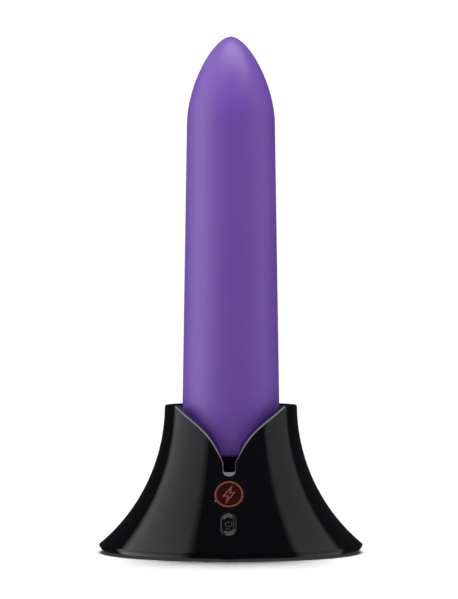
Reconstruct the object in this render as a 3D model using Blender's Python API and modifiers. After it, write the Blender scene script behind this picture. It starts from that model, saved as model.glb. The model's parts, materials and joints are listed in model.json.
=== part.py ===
"""Handheld massager standing in its charging dock, as an assembly of separate solids.

The frame: +Z up, the front faces -Y, and the origin is the centre of the dock's foot on the surface
it stands on. Every size below is in millimetres, and the helpers turn millimetres into metres.
"""

import math

import bmesh
import bpy
from mathutils import Matrix, Vector

MM = 0.001
GAP = 0.3  # clearance between neighbouring pieces

# Handheld body: a turned shape with a bullet tip and a barrel that widens slightly downwards.
TIP_Z = 133.85
NOSE_HANDLE = 4.43  # half width of the blunt nose, as a curve handle
SHOULDER_Z = 111.25
SHOULDER_R = 11.45
SHOULDER_HANDLE = 10.4
BARREL_TAPER = 0.0155  # radius gained for each millimetre down
SLEEVE_END_Z = 25.0
SLEEVE_WALL = 1.6
HOUSING_WALL = 1.3
HOUSING_END_Z = 25.3
WAND_BOTTOM_Z = 19.6
CAP_R = 12.2
CAP_FLOOR_Z = 21.4
CAP_CAVITY_R = 8.0
SPIGOT_R = 9.2
SPIGOT_TOP_Z = 32.0
CONTACT_X = 5.8  # contacts and charging pins sit left and right of the axis

# Motor and electronics inside the handheld body.
MOTOR_R = 6.0
MOTOR_BOTTOM_Z = 93.0
MOTOR_TOP_Z = 111.0
SHAFT_R = 0.75
SHAFT_BORE_R = 0.84
BATTERY_R = 5.0
BATTERY_Y = 2.6
BATTERY_Z = (37.0, 81.0)
BOARD_Y = (-4.6, -3.6)
BOARD_Z = (36.0, 84.0)

# Dock: a flared shell with a socket, cut open at the front by a pointed notch.
DOCK_H = 38.2
RIM_R = 17.2
FLARE_R = 47.0  # radius of the arc that the flare follows
FOOT_R = 34.2
FOOT_EDGE_Z = 2.0
SHELL_BOTTOM_Z = 0.6
SHELL_WALL = 2.2
FUNNEL_R = 14.6
SOCKET_R = 13.15
FUNNEL_END_Z = 26.0
TUBE_WALL = 1.5
TUBE_END_Z = 16.2
CAVITY_TOP_Z = 29.0
PLATE_SEAT_R = 30.2
PLATE_SEAT_Z = 3.2
PLATE_R = 29.9
PLATE_Z = (0.9, 2.9)
FLOOR_Z = 19.3  # the handheld body stands here

# Notch in the dock's front wall, by its half width and height.
NOTCH_RIM_X = 14.0
NOTCH_HANDLE_TOP = (7.6, 32.5)
NOTCH_HANDLE_LOW = (5.2, 32.5)
SLOT_X = 1.5
SLOT_TOP_Z = 23.8
SLOT_BOTTOM_Z = 21.6
SLOT_CORNER = 0.8
NOTCH_WALL = 1.6  # the wall that closes the shell round the notch

# Controls on the dock's front, by the height where each sits on the flare.
LENS_Z = 16.15
LENS_R = 3.8
BUTTON_Z = 8.8
BUTTON_W = 4.2
BUTTON_L = 7.2
BUTTON_PROUD = 0.4
BUTTON_FLANGE = (1.6, 1.2)  # how much wider and longer the hidden flange is than the face
CONTROL_GAP = 0.2

# Dock electronics and fastenings.
SCREW_RADIUS_POS = 22.0
SCREW_ANGLES = (45, 135, 225, 315)
FEET_RADIUS_POS = 24.0
FEET_ANGLES = (0, 90, 180, 270)
FOOT_PAD_R = 4.0
DOCK_BOARD_X = 11.0
DOCK_BOARD_Y = (-12.0, 20.5)
DOCK_BOARD_Z = (6.6, 7.8)
POSTS = ((-9.0, -10.0), (9.0, -10.0), (-9.0, 13.0), (9.0, 13.0))
PORT_Z = 9.75
PORT_W = 12.4
PORT_H = 7.0
PORT_CORNER = 1.5
USB_W = 9.0
USB_H = 3.3
USB_Y = (16.5, 24.0)

FINE = 60  # steps round the large turned shapes
MEDIUM = 36
SMALL = 16


# ---------------------------------------------------------------- scene and materials
def clear_scene():
    for old in list(bpy.data.objects):
        bpy.data.objects.remove(old, do_unlink=True)


def new_collection(name):
    collection = bpy.data.collections.new(name)
    bpy.context.scene.collection.children.link(collection)
    return collection


def new_material(name, colour, roughness, metallic=0.0):
    material = bpy.data.materials.new(name)
    material.use_nodes = True
    shader = material.node_tree.nodes["Principled BSDF"]
    shader.inputs["Base Color"].default_value = (*colour, 1.0)
    shader.inputs["Roughness"].default_value = roughness
    shader.inputs["Metallic"].default_value = metallic
    return material


clear_scene()
PARTS = new_collection("handheld_massager")
CUTTERS = new_collection("cutters")

SILICONE = new_material("purple_silicone", (0.13, 0.05, 0.33), 0.45)
GLOSS_BLACK = new_material("gloss_black", (0.008, 0.008, 0.01), 0.12)
DARK_PLASTIC = new_material("dark_plastic", (0.03, 0.025, 0.04), 0.4)
NATURAL_PLASTIC = new_material("natural_plastic", (0.6, 0.58, 0.53), 0.5)
RUBBER = new_material("rubber", (0.02, 0.02, 0.02), 0.8)
STEEL = new_material("steel", (0.6, 0.6, 0.62), 0.3, 1.0)
BRASS = new_material("brass", (0.75, 0.55, 0.2), 0.25, 1.0)
COPPER = new_material("copper", (0.7, 0.35, 0.2), 0.35, 1.0)
MAGNET = new_material("magnet", (0.12, 0.12, 0.13), 0.5, 0.6)
CELL_WRAP = new_material("cell_wrap", (0.05, 0.22, 0.5), 0.35)
BOARD_GREEN = new_material("board_green", (0.02, 0.16, 0.07), 0.4)
CHIP_BLACK = new_material("chip_black", (0.015, 0.015, 0.015), 0.5)
INDICATOR_AMBER = new_material("indicator_amber", (0.75, 0.16, 0.05), 0.2)
LEAD_RED = new_material("lead_red", (0.55, 0.02, 0.02), 0.4)
LEAD_BLACK = new_material("lead_black", (0.02, 0.02, 0.02), 0.4)


# ---------------------------------------------------------------- making solids
def add_part(name, mesh, material, collection=None):
    part = bpy.data.objects.new(name, mesh)
    (collection or PARTS).objects.link(part)
    mesh.materials.clear()
    mesh.materials.append(material)
    if collection is CUTTERS:
        hide_cutter(part)
    return part


def hide_cutter(part):
    part.hide_render = True
    part.display_type = "WIRE"


def turned(name, profile, steps, material, collection=None, at=(0, 0)):
    """A profile of (radius, height) points turned about Z. It closes itself unless it ends on the axis."""
    mesh = bpy.data.meshes.new(name)
    points = [(r * MM, 0, z * MM) for r, z in profile]
    edges = [(i, i + 1) for i in range(len(points) - 1)]
    if profile[0][0] > 0:
        edges.append((len(points) - 1, 0))
    mesh.from_pydata(points, edges, [])
    part = add_part(name, mesh, material, collection)
    part.location = (at[0] * MM, at[1] * MM, 0)
    screw = part.modifiers.new("turn", "SCREW")
    screw.steps = steps
    screw.render_steps = steps
    screw.use_merge_vertices = True
    screw.merge_threshold = 0.00001
    screw.use_smooth_shade = True
    return part


def rod(name, radius, low, high, sides, material, collection=None, at=(0, 0)):
    """A plain upright cylinder between two heights."""
    mesh = bpy.data.meshes.new(name)
    form = bmesh.new()
    bmesh.ops.create_cone(
        form,
        cap_ends=True,
        segments=sides,
        radius1=radius * MM,
        radius2=radius * MM,
        depth=(high - low) * MM,
    )
    bmesh.ops.translate(form, verts=form.verts, vec=(0, 0, (high + low) / 2 * MM))
    form.to_mesh(mesh)
    form.free()
    mesh.shade_smooth()
    mesh.set_sharp_from_angle(angle=math.radians(30))
    part = add_part(name, mesh, material, collection)
    part.location = (at[0] * MM, at[1] * MM, 0)
    return part


def tube(name, outer, inner, low, high, steps, material, at=(0, 0)):
    """A plain upright ring."""
    profile = [(outer, high), (outer, low), (inner, low), (inner, high)]
    return turned(name, profile, steps, material, None, at)


def ring(name, radius, thickness, z, material):
    """A torus round the axis, for an O-ring."""
    bpy.ops.mesh.primitive_torus_add(
        major_radius=radius * MM,
        minor_radius=thickness * MM,
        major_segments=28,
        minor_segments=6,
        location=(0, 0, z * MM),
    )
    part = bpy.context.object
    part.name = name
    for collection in list(part.users_collection):
        collection.objects.unlink(part)
    PARTS.objects.link(part)
    part.data.materials.append(material)
    part.data.shade_smooth()
    return part


def block(name, x, y, z, material, collection=None):
    """A box between the given limits on each axis."""
    mesh = bpy.data.meshes.new(name)
    form = bmesh.new()
    bmesh.ops.create_cube(form, size=1.0)
    size = [(limits[1] - limits[0]) * MM for limits in (x, y, z)]
    centre = [(limits[1] + limits[0]) / 2 * MM for limits in (x, y, z)]
    for vertex in form.verts:
        vertex.co = Vector(c + s * v for c, s, v in zip(centre, size, vertex.co))
    form.to_mesh(mesh)
    form.free()
    return add_part(name, mesh, material, collection)


def as_mesh(curve_part):
    """Turns a curve object into a mesh object with welded caps, so that it can be cut or be a cutter."""
    bpy.context.view_layer.update()
    graph = bpy.context.evaluated_depsgraph_get()
    mesh = bpy.data.meshes.new_from_object(curve_part.evaluated_get(graph))
    form = bmesh.new()
    form.from_mesh(mesh)
    bmesh.ops.remove_doubles(form, verts=form.verts, dist=0.000001)
    bmesh.ops.recalc_face_normals(form, faces=form.faces)
    form.to_mesh(mesh)
    form.free()
    name = curve_part.name
    collection = curve_part.users_collection[0]
    material = curve_part.data.materials[0]
    matrix = curve_part.matrix_world.copy()
    bpy.data.objects.remove(curve_part, do_unlink=True)
    part = add_part(name, mesh, material, collection)
    part.matrix_world = matrix
    return part


def slab(name, outline, low, high, material, collection=None, frame=None):
    """A closed flat outline in the frame's own XY, thickened from low to high along its Z, as a mesh."""
    curve = bpy.data.curves.new(name, "CURVE")
    curve.dimensions = "2D"
    curve.fill_mode = "BOTH"
    curve.extrude = (high - low) / 2 * MM
    spline = curve.splines.new("POLY")
    spline.points.add(len(outline) - 1)
    for point, (x, y) in zip(spline.points, outline):
        point.co = (x * MM, y * MM, 0, 1)
    spline.use_cyclic_u = True
    curve.materials.append(material)
    part = bpy.data.objects.new(name, curve)
    (collection or PARTS).objects.link(part)
    middle = Matrix.Translation((0, 0, (high + low) / 2 * MM))
    part.matrix_world = (frame or Matrix.Identity(4)) @ middle
    return as_mesh(part)


def wire(name, route, radius, material, roundness=2):
    """A round wire along a route of points, with closed ends."""
    curve = bpy.data.curves.new(name, "CURVE")
    curve.dimensions = "3D"
    curve.bevel_depth = radius * MM
    curve.bevel_resolution = roundness
    curve.use_fill_caps = True
    spline = curve.splines.new("POLY")
    spline.points.add(len(route) - 1)
    for point, place in zip(spline.points, route):
        point.co = (*(Vector(place) * MM), 1)
    curve.materials.append(material)
    part = bpy.data.objects.new(name, curve)
    PARTS.objects.link(part)
    return part


def combine(part, other, operation):
    boolean = part.modifiers.new(operation.lower(), "BOOLEAN")
    boolean.operation = operation
    boolean.object = other
    return part


def cut(part, *cutters):
    for cutter in cutters:
        combine(part, cutter, "DIFFERENCE")
    return part


def join(part, *others):
    for other in others:
        combine(part, other, "UNION")
    return part


def frame_at(z, depth=0.0):
    """A frame on the flare's front at height z: its Z points out of the surface, its Y up along it."""
    lean = math.asin((DOCK_H - z) / FLARE_R)
    out = Vector((0, -math.cos(lean), math.sin(lean)))
    up = Vector((0, math.sin(lean), math.cos(lean)))
    across = up.cross(out)
    place = Vector((0, -flare_radius(z), z)) - out * depth
    turn = Matrix((across, up, out)).transposed().to_4x4()
    return Matrix.Translation(place * MM) @ turn


# ---------------------------------------------------------------- outlines
def bezier(points, count):
    """count + 1 points along a cubic curve."""
    a, b, c, d = (Vector(p) for p in points)
    found = []
    for i in range(count + 1):
        t = i / count
        s = 1 - t
        found.append(a * s**3 + b * (3 * s * s * t) + c * (3 * s * t * t) + d * t**3)
    return found


def barrel_radius(z):
    return SHOULDER_R + (SHOULDER_Z - z) * BARREL_TAPER


def wand_outline(inset, low, top=None, count=7):
    """The handheld body's outline moved inwards by inset, from its tip down to the height low."""
    shoulder = Vector((SHOULDER_R, SHOULDER_Z))
    handle = shoulder + Vector((-BARREL_TAPER, 1)) * SHOULDER_HANDLE
    tip = bezier(((0, TIP_Z), (NOSE_HANDLE, TIP_Z), handle, shoulder), count)
    points = []
    for before, here, after in zip(tip[:1] + tip, tip, tip[1:] + tip[-1:]):
        along = (after - before).normalized()
        inwards = Vector((along.y, -along.x))
        points.append(here + inwards * inset)
    points[0] = Vector((0, TIP_Z - inset))
    points[-1] = Vector((SHOULDER_R - inset, SHOULDER_Z))
    if top is not None:
        below = [p for p in points if p.y < top]
        points = [Vector((0, top)), Vector((below[0].x - 0.4, top)), *below]
    points.append(Vector((barrel_radius(low) - inset, low)))
    return [(p.x, p.y) for p in points]


def flare_radius(z):
    """Radius of the dock's outer surface at a height."""
    return RIM_R + FLARE_R - math.sqrt(FLARE_R**2 - (DOCK_H - z) ** 2)


def flare_points(high, low, inset, count):
    """Points down the flare's arc between two heights, moved inwards by inset."""
    arc = FLARE_R + inset
    first = math.asin((DOCK_H - high) / arc)
    last = math.asin((DOCK_H - low) / arc)
    found = []
    for i in range(count + 1):
        lean = first + (last - first) * i / count
        found.append((RIM_R + FLARE_R - arc * math.cos(lean), DOCK_H - arc * math.sin(lean)))
    return found


def rounded_outline(width, height, corner, per_corner=4):
    """A rectangle with round corners about the origin, as a list of points."""
    found = []
    for k, (sx, sy) in enumerate(((1, 1), (-1, 1), (-1, -1), (1, -1))):
        cx = sx * (width / 2 - corner)
        cy = sy * (height / 2 - corner)
        for i in range(per_corner + 1):
            angle = math.radians(90 * k + 90 * i / per_corner)
            found.append((cx + corner * math.cos(angle), cy + corner * math.sin(angle)))
    return found


def notch_outline(grow=0.0, count=10):
    """The front notch seen from the front: curved shoulders that fall to a narrow slot with a flat end."""
    curve = bezier(
        ((NOTCH_RIM_X, DOCK_H), NOTCH_HANDLE_TOP, NOTCH_HANDLE_LOW, (SLOT_X, SLOT_TOP_Z)), count
    )
    corner = SLOT_CORNER
    for i in range(5):
        angle = math.radians(-90 * i / 4)
        x = SLOT_X - corner + corner * math.cos(angle)
        curve.append(Vector((x, SLOT_BOTTOM_Z + corner + corner * math.sin(angle))))
    grown = []
    for before, here, after in zip(curve[:1] + curve, curve, curve[1:] + curve[-1:]):
        along = (after - before).normalized()
        grown.append(here + Vector((-along.y, along.x)) * grow)
    grown[-1] = Vector((grown[-1].x, SLOT_BOTTOM_Z - grow))
    top = DOCK_H + 8
    start = grown[0] + (grown[0] - grown[1])
    half = [Vector((start.x, top)), start, *grown]
    return [(p.x, p.y) for p in half] + [(-p.x, p.y) for p in reversed(half)]


# ---------------------------------------------------------------- handheld body
def make_sleeve():
    outer = wand_outline(0, SLEEVE_END_Z + 0.6, count=10)
    inner = wand_outline(SLEEVE_WALL, SLEEVE_END_Z)
    edge = [(outer[-1][0] - 0.35, SLEEVE_END_Z)]
    turned("silicone_sleeve", outer + edge + inner[::-1], MEDIUM, SILICONE)


def make_housing():
    """Two half shells, split on the plane X = 0, with ledges that trap the motor's boot."""
    outer = wand_outline(SLEEVE_WALL + GAP, HOUSING_END_Z)
    inner = wand_outline(SLEEVE_WALL + GAP + HOUSING_WALL, HOUSING_END_Z, top=122.0)
    ledges = [(7.2, 91.0), (7.2, 89.6), (barrel_radius(89.6) - 3.2, 89.6)]
    ledges = [(barrel_radius(91.0) - 3.2, 91.0), *ledges]
    inner = inner[:-1] + ledges + inner[-1:]
    for side, sign in (("left", -1), ("right", 1)):
        half = turned(f"housing_{side}", outer + inner[::-1], 28, NATURAL_PLASTIC)
        reach = (sign * GAP / 2, -sign * 20.0)
        cutter = block(
            f"cut_{side}", (min(reach), max(reach)), (-20, 20), (0, 150), RUBBER, CUTTERS
        )
        cut(half, cutter)


def make_motor():
    """A brushed can motor. Its rotor carries an off-centre weight above the can."""
    can = [
        (2.2, 111.9),
        (2.2, MOTOR_TOP_Z),
        (MOTOR_R, MOTOR_TOP_Z),
        (MOTOR_R, MOTOR_BOTTOM_Z),
        (5.5, MOTOR_BOTTOM_Z),
        (5.5, 110.4),
        (1.75, 110.4),
        (1.75, 111.9),
    ]
    turned("motor_can", can, 20, STEEL)
    tube("motor_bush", 1.45, SHAFT_BORE_R, 110.1, 112.1, SMALL, BRASS)
    tube("motor_magnet_ring", 5.2, 4.3, 96.0, 108.0, 20, MAGNET)
    rod("motor_shaft", SHAFT_R, 90.2, 120.6, 12, STEEL)
    armature = tube("motor_armature", 3.9, SHAFT_BORE_R, 97.0, 107.0, 18, COPPER)
    for k in range(3):
        slot = block(f"cut_pole_{k}", (2.0, 6.0), (-0.5, 0.5), (96, 108), RUBBER, CUTTERS)
        slot.rotation_euler.z = math.radians(120 * k + 30)
        cut(armature, slot)
    tube("motor_commutator", 1.7, SHAFT_BORE_R, 94.0, 96.4, SMALL, COPPER)
    tube("motor_end_cap", 5.2, SHAFT_BORE_R, 91.6, 93.4, 20, DARK_PLASTIC)
    for side, sign in (("left", -1), ("right", 1)):
        x = sorted((sign * 2.0, sign * 2.4))
        block(f"motor_brush_{side}", x, (-0.8, 0.8), (93.7, 96.2), COPPER)
    tube("motor_boot", 7.9, 6.3, 91.4, 108.6, 24, RUBBER)
    weight = rod("eccentric_weight", 5.2, 113.4, 119.4, 24, STEEL)
    hub = rod("weight_hub", 1.9, 113.4, 119.4, SMALL, STEEL, CUTTERS)
    side_cut = block("cut_weight", (-7, 7), (0.6, 8), (110, 125), RUBBER, CUTTERS)
    bore = rod("cut_weight_bore", SHAFT_BORE_R, 110, 125, 12, RUBBER, CUTTERS)
    cut(weight, side_cut)
    join(weight, hub)
    cut(weight, bore)


def make_battery():
    low, high = BATTERY_Z
    cell = [(0, high + 0.8), (1.6, high + 0.8), (1.6, high), (4.7, high)]
    cell += [(BATTERY_R, high - 0.3), (BATTERY_R, low + 0.3), (4.7, low), (0, low)]
    turned("battery_cell", cell, 24, CELL_WRAP, at=(0, BATTERY_Y))
    for name, flat, leg in (
        ("battery_tab_positive", (high + 1.1, high + 1.4), (high - 3.0, high + 1.4)),
        ("battery_tab_negative", (low - 0.6, low - 0.3), (low - 0.6, low + 4.0)),
    ):
        tab = block(name, (-2, 2), (-3.2, BATTERY_Y + 1.8), flat, STEEL)
        fold = block(f"{name}_fold", (-2, 2), (-3.2, -2.9), leg, STEEL, CUTTERS)
        join(tab, fold)


def make_control_board():
    front = BOARD_Y[0]
    block("control_board", (-6.8, 6.8), BOARD_Y, BOARD_Z, BOARD_GREEN)
    block("microcontroller_chip", (-2.5, 2.5), (front - 1.2, front - GAP), (58, 63), CHIP_BLACK)
    block("charging_chip", (-1.5, 1.5), (front - 1.2, front - GAP), (44, 48), CHIP_BLACK)
    rod("filter_capacitor", 1.5, 70, 75, 16, STEEL, at=(0, front - GAP - 1.5))


def make_wand_leads():
    """Two leads from the motor to the board, and two from the charging contacts to the board."""
    for name, sign, material in (
        ("motor_lead_red", 1, LEAD_RED),
        ("motor_lead_black", -1, LEAD_BLACK),
    ):
        x = sign * 3.0
        route = [(x, -0.4, 91.2), (x, -0.9, 90.2), (x, -2.2, 88.9)]
        route += [(x, -3.4, 87.6), (x, -4.0, 86.2), (x, -4.1, 84.4)]
        wire(name, route, 0.45, material)
    for name, sign, material in (
        ("charge_lead_left", -1, LEAD_BLACK),
        ("charge_lead_right", 1, LEAD_RED),
    ):
        x = sign * CONTACT_X
        route = [(x, 0, 23.3), (x, 0, 26.5), (x, -0.6, 29.0)]
        route += [(x * 0.97, -2.2, 31.2), (x * 0.93, -3.6, 33.2), (x * 0.9, -4.1, 35.6)]
        wire(name, route, 0.4, material)


def make_end_cap():
    """The plug that closes the handheld body, with its seal, contacts and push button."""
    profile = [
        (SPIGOT_R, SPIGOT_TOP_Z),
        (SPIGOT_R, 29.5),
        (8.55, 29.5),
        (8.55, 28.1),
        (SPIGOT_R, 28.1),
        (SPIGOT_R, SLEEVE_END_Z - GAP),
        (CAP_R - 0.2, SLEEVE_END_Z - GAP),
        (CAP_R, SLEEVE_END_Z - GAP - 0.2),
        (CAP_R, WAND_BOTTOM_Z + 0.7),
        (CAP_R - 0.6, WAND_BOTTOM_Z),
        (3.0, WAND_BOTTOM_Z),
        (3.0, CAP_FLOOR_Z),
        (CAP_CAVITY_R, CAP_FLOOR_Z),
        (CAP_CAVITY_R, SPIGOT_TOP_Z),
    ]
    cap = turned("end_cap", profile, MEDIUM, DARK_PLASTIC)
    for side, sign in (("left", -1), ("right", 1)):
        place = (sign * CONTACT_X, 0)
        cut(cap, rod(f"cut_contact_{side}", 1.4, 19, 22, 16, RUBBER, CUTTERS, place))
        contact = [(0, 22.8), (0.6, 22.8), (0.6, 22.2), (1.5, 22.2), (1.5, 21.7)]
        contact += [(1.1, 21.7), (1.1, 19.9), (0, 19.9)]
        turned(f"contact_{side}", contact, 16, BRASS, at=place)
    ring("seal_ring", 8.98, 0.38, 28.8, RUBBER)
    button = [(0, 23.2), (1.2, 23.2), (1.2, 22.4), (3.7, 22.4), (3.7, 21.7)]
    button += [(2.7, 21.7), (2.7, 20.1), (2.4, 19.9), (0, 19.9)]
    turned("power_button", button, 20, DARK_PLASTIC)
    block("switch_board", (-4.6, 4.6), (-6, 6), (25.3, 26.3), BOARD_GREEN)
    body = block("switch_body", (-2.4, 2.4), (-2.4, 2.4), (23.8, 25.0), CHIP_BLACK)
    cut(body, rod("cut_switch", 1.3, 23.0, 24.8, 16, RUBBER, CUTTERS))
    rod("switch_plunger", 1.0, 23.5, 24.2, 14, STEEL)


# ---------------------------------------------------------------- dock
def make_shell():
    """The flared shell with its socket tube, hollow below and closed round the notch."""
    outer = [(RIM_R - 0.6, DOCK_H), (RIM_R - 0.2, DOCK_H - 0.15)]
    outer += flare_points(DOCK_H - 0.6, FOOT_EDGE_Z, 0, 10)
    outer += [(FOOT_R - 0.1, FOOT_EDGE_Z - 0.7), (FOOT_R - 0.7, SHELL_BOTTOM_Z)]
    inner = [(SOCKET_R, SHELL_BOTTOM_Z), (SOCKET_R, FUNNEL_END_Z)]
    inner += [(SOCKET_R + 0.3, FUNNEL_END_Z + 3), (FUNNEL_R, DOCK_H - 1.0)]
    inner += [(FUNNEL_R + 0.15, DOCK_H - 0.3), (FUNNEL_R + 0.5, DOCK_H)]
    shell = turned("dock_shell", outer + inner, FINE, GLOSS_BLACK)

    tube_r = SOCKET_R + TUBE_WALL
    cavity = [(0, TUBE_END_Z), (tube_r, TUBE_END_Z), (tube_r, CAVITY_TOP_Z)]
    cavity += flare_points(CAVITY_TOP_Z, PLATE_SEAT_Z, SHELL_WALL, 5)
    cavity += [(PLATE_SEAT_R, PLATE_SEAT_Z), (PLATE_SEAT_R, -2), (0, -2)]
    hollow = turned("cut_cavity", cavity, MEDIUM, RUBBER, CUTTERS)
    upright = Matrix.Rotation(math.radians(90), 4, "X")
    keep = slab("cut_notch_wall", notch_outline(NOTCH_WALL), 5, 40, RUBBER, CUTTERS, upright)
    cut(hollow, keep)

    notch = slab("cut_notch", notch_outline(), 5, 40, RUBBER, CUTTERS, upright)
    lens_hole = rod("cut_lens", LENS_R + CONTROL_GAP, -6, 5, 24, RUBBER, CUTTERS)
    lens_hole.matrix_world = frame_at(LENS_Z)
    width = BUTTON_W + 2 * CONTROL_GAP
    oval = rounded_outline(width, BUTTON_L + 2 * CONTROL_GAP, width / 2 - 0.05)
    button_hole = slab("cut_button", oval, -6, 5, RUBBER, CUTTERS, frame_at(BUTTON_Z))
    lying = Matrix.Translation((0, 0, PORT_Z * MM)) @ upright
    port = rounded_outline(PORT_W, PORT_H, PORT_CORNER)
    port_hole = slab("cut_port", port, -40, -20, RUBBER, CUTTERS, lying)
    cut(shell, hollow, notch, lens_hole, button_hole, port_hole)
    for k, place in enumerate(ring_of(SCREW_RADIUS_POS, SCREW_ANGLES)):
        join(shell, rod(f"boss_{k}", 2.7, PLATE_SEAT_Z, 11.5, 12, RUBBER, CUTTERS, place))
        cut(shell, rod(f"cut_pilot_{k}", 1.5, 2.0, 10.2, 10, RUBBER, CUTTERS, place))


def ring_of(radius, angles):
    return [
        (radius * math.cos(math.radians(a)), radius * math.sin(math.radians(a))) for a in angles
    ]


def make_base():
    """The base plate with its posts, feet and screws."""
    low, high = PLATE_Z
    plate = rod("base_plate", PLATE_R, low, high, 48, DARK_PLASTIC)
    for k, (x, y) in enumerate(POSTS):
        post = rod(f"post_{k}", 1.7, high - 1, DOCK_BOARD_Z[0] - GAP, 8, RUBBER, CUTTERS, (x, y))
        join(plate, post)
    for k, place in enumerate(ring_of(FEET_RADIUS_POS, FEET_ANGLES)):
        recess = rod(f"cut_foot_{k}", FOOT_PAD_R + GAP, -1, 1.9, 20, RUBBER, CUTTERS, place)
        cut(plate, recess)
        pad = [(0, 1.6), (FOOT_PAD_R, 1.6), (FOOT_PAD_R, 0.4), (FOOT_PAD_R - 0.4, 0), (0, 0)]
        turned(f"foot_pad_{k + 1}", pad, 20, RUBBER, at=place)
    for k, place in enumerate(ring_of(SCREW_RADIUS_POS, SCREW_ANGLES)):
        cut(plate, rod(f"cut_head_{k}", 2.8, -1, 2.2, SMALL, RUBBER, CUTTERS, place))
        cut(plate, rod(f"cut_shank_{k}", 1.6, 0, 5, 10, RUBBER, CUTTERS, place))
        make_screw(f"base_screw_{k + 1}", place)


def make_screw(name, place):
    """A self-tapping screw, head down, with a cross recess."""
    profile = [(0, 9.4), (0.5, 9.0), (1.15, 8.0), (1.15, 1.9), (2.4, 1.9), (2.4, 1.3)]
    profile += [(2.0, 1.0), (0, 1.0)]
    screw = turned(name, profile, 12, STEEL, at=place)
    for k, (x, y) in enumerate(((1.4, 0.28), (0.28, 1.4))):
        blade = block(f"cut_{name}_{k}", (-x, x), (-y, y), (0, 1.6), RUBBER, CUTTERS)
        blade.location = (place[0] * MM, place[1] * MM, 0)
        cut(screw, blade)


def make_contact_block():
    """The socket's floor, with the two sprung charging pins."""
    profile = [(0, 18.3), (3.8, 18.3), (3.8, FLOOR_Z), (12.8, FLOOR_Z), (12.8, 15.9)]
    profile += [(14.5, 15.9), (14.5, 14.0), (0, 14.0)]
    floor = turned("contact_block", profile, MEDIUM, DARK_PLASTIC)
    for side, sign in (("left", -1), ("right", 1)):
        place = (sign * CONTACT_X, 0)
        cut(floor, rod(f"cut_pin_{side}", 1.4, 12, 21, 14, RUBBER, CUTTERS, place))
        barrel = [(0, 10.6), (0.8, 10.6), (0.8, 17.9), (0.6, 17.9), (0.6, 18.4), (1.1, 18.4)]
        barrel += [(1.1, 9.5), (0.4, 9.5), (0.4, 8.1), (0, 8.1)]
        turned(f"pin_barrel_{side}", barrel, 12, BRASS, at=place)
        plunger = [(0, 19.6), (0.3, 19.5), (0.5, 19.2), (0.5, 17.7), (0.7, 17.4)]
        plunger += [(0.7, 14.6), (0, 14.6)]
        turned(f"pin_plunger_{side}", plunger, 12, BRASS, at=place)
        make_spring(f"pin_spring_{side}", place, 0.5, 0.1, 11.0, 14.2, 4)


def make_spring(name, place, mean_radius, wire_radius, low, high, turns):
    per_turn = 8
    route = []
    for i in range(turns * per_turn + 1):
        angle = 2 * math.pi * i / per_turn
        z = low + (high - low) * i / (turns * per_turn)
        x = place[0] + mean_radius * math.cos(angle)
        route.append((x, place[1] + mean_radius * math.sin(angle), z))
    return wire(name, route, wire_radius, STEEL, roundness=1)


def trim_to_flare(part, proud):
    """Gives a control on the dock's front an outer face that follows the flare, standing proud of it."""
    face = flare_points(DOCK_H - 0.6, FOOT_EDGE_Z, -proud, 12)
    solid = [(0, face[0][1]), *face, (0, face[-1][1])]
    combine(part, turned(f"trim_{part.name}", solid, FINE, RUBBER, CUTTERS), "INTERSECT")


def make_front_controls():
    """The flush indicator lens and the raised push button on the flare, with the board behind them."""
    lens = turned(
        "indicator_lens",
        [(0, 3), (LENS_R, 3), (LENS_R, -2.9), (4.3, -2.9), (4.3, -3.4), (0, -3.4)],
        24,
        INDICATOR_AMBER,
    )
    lens.matrix_world = frame_at(LENS_Z)
    trim_to_flare(lens, 0)

    here = frame_at(BUTTON_Z)
    oval = rounded_outline(BUTTON_W, BUTTON_L, BUTTON_W / 2 - 0.05, 6)
    button = slab("dock_button", oval, -2.9, 3.0, GLOSS_BLACK, None, here)
    trim_to_flare(button, BUTTON_PROUD)
    wider, longer = BUTTON_FLANGE
    rim = rounded_outline(BUTTON_W + wider, BUTTON_L + longer, BUTTON_W / 2, 4)
    join(button, slab("button_flange", rim, -3.3, -2.8, RUBBER, CUTTERS, here))
    stem = rod("button_stem", 1.2, -3.5, -3.0, 14, RUBBER, CUTTERS)
    stem.matrix_world = here
    join(button, stem)

    body = block("dock_switch_body", (-2.25, 2.25), (-1.9, 1.9), (-5.3, -4.1), CHIP_BLACK)
    body.matrix_world = here
    recess = rod("cut_dock_switch", 1.3, -5.15, -3.0, 16, RUBBER, CUTTERS)
    recess.matrix_world = here
    cut(body, recess)
    plunger = rod("dock_switch_plunger", 1.0, -4.5, -3.8, 14, STEEL)
    plunger.matrix_world = here
    board = block("front_board", (-4.5, 4.5), (-2.0, 10.2), (-6.4, -5.6), BOARD_GREEN)
    board.matrix_world = here
    lamp = block("indicator_led", (-1.5, 1.5), (7.2, 10.0), (-5.3, -4.2), NATURAL_PLASTIC)
    lamp.matrix_world = here


def make_dock_electronics():
    x = (-DOCK_BOARD_X, DOCK_BOARD_X)
    block("dock_board", x, DOCK_BOARD_Y, DOCK_BOARD_Z, BOARD_GREEN)
    upright = Matrix.Rotation(math.radians(90), 4, "X")
    level = DOCK_BOARD_Z[1] + GAP + USB_H / 2
    lying = Matrix.Translation((0, 0, level * MM)) @ upright
    outline = rounded_outline(USB_W, USB_H, USB_H / 2 - 0.05)
    socket = slab("charging_socket_shell", outline, -USB_Y[1], -USB_Y[0], STEEL, None, lying)
    hollow = rounded_outline(USB_W - 0.7, USB_H - 0.7, USB_H / 2 - 0.4)
    inside = slab("cut_socket", hollow, -USB_Y[1] - 1, -USB_Y[0] - 0.5, RUBBER, CUTTERS, lying)
    cut(socket, inside)
    tongue = (level - 0.35, level + 0.35)
    block("charging_socket_tongue", (-3.2, 3.2), (USB_Y[0] + 0.8, USB_Y[1] - 1.0), tongue, CHIP_BLACK)


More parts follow.
